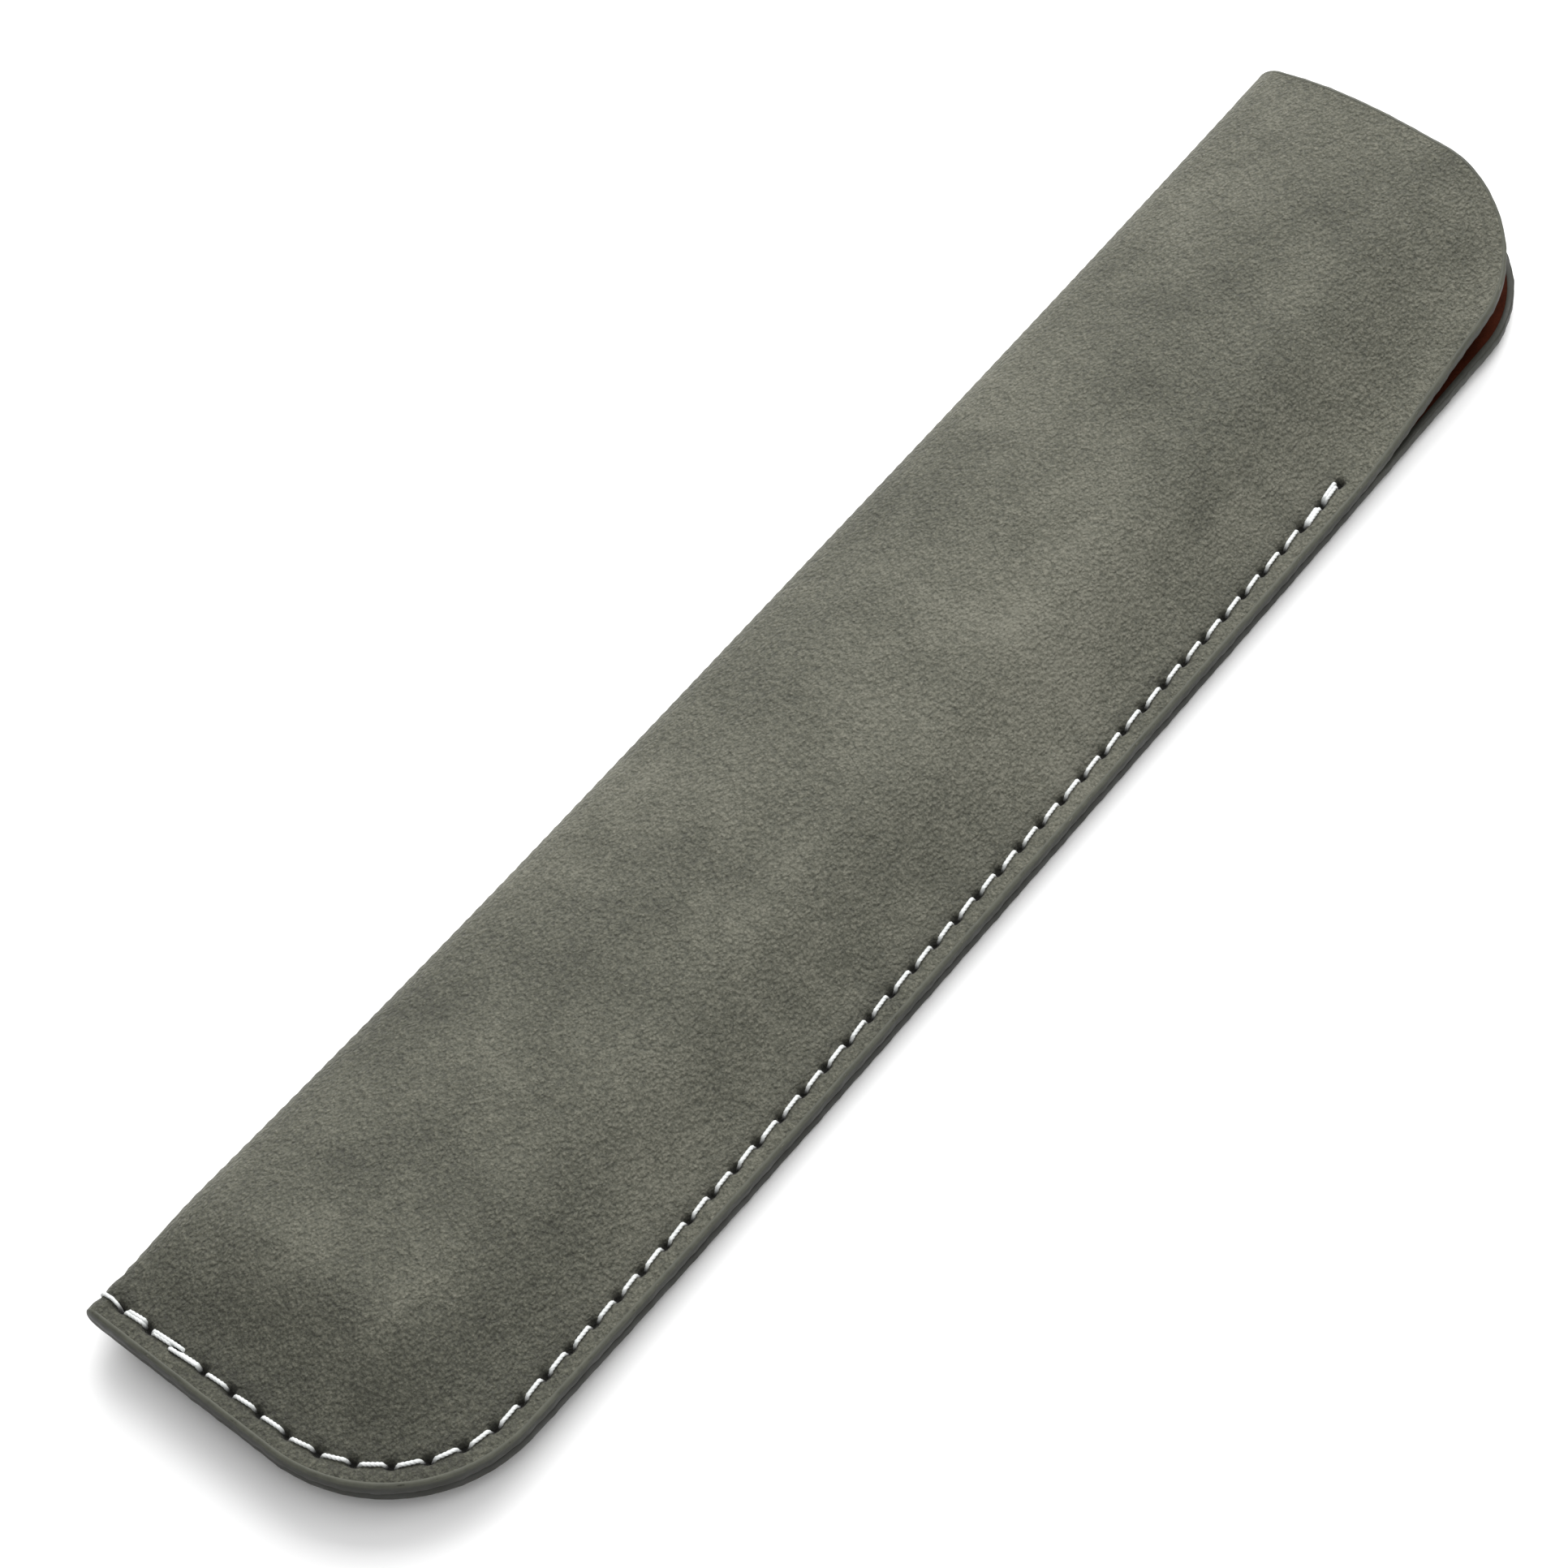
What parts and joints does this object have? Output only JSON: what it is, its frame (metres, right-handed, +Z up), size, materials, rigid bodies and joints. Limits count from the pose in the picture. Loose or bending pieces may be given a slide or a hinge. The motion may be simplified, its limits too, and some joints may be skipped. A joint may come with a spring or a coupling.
{
  "type": "pen sleeve",
  "caption": "Slim folded leather sleeve for one pen, lock-stitched along the bottom and the long side, with an open mouth and a free rounded lip.",
  "frame": {"origin": "under the middle of the sleeve, on the surface that it lies on", "axes": "+X from the fold to the sewn side, +Y from the sewn end to the mouth, +Z up through the front"},
  "size_m": [0.0376, 0.175, 0.0097],
  "materials": {
    "leather": "fine matt nubuck grain, softly clouded grey",
    "lining": "matt reddish-brown lining",
    "thread": "twisted white polyester sewing thread",
    "cement": "dried contact cement film",
    "edge_paint": "satin dark grey edge paint"
  },
  "bodies": {
    "sleeve": {"outer_leather": "leather", "lining": "lining", "needle_thread": "thread", "bobbin_thread": "thread", "seam_cement": "cement", "seam_edge_paint": "edge_paint", "mouth_edge_paint": "edge_paint"},
    "lip": {"lip_leather": "leather", "lip_lining": "lining", "lip_edge_paint": "edge_paint"}
  },
  "joints": [
    {"name": "lip_flex", "type": "hinge", "parent": "sleeve", "child": "lip", "pos_m": [0.0035, 0.07272, 0.00876], "axis": [0.718, -0.6956, -0.0249], "range_deg": [-6, 22], "stiffness_Nm_per_rad": 0.02}
  ]
}
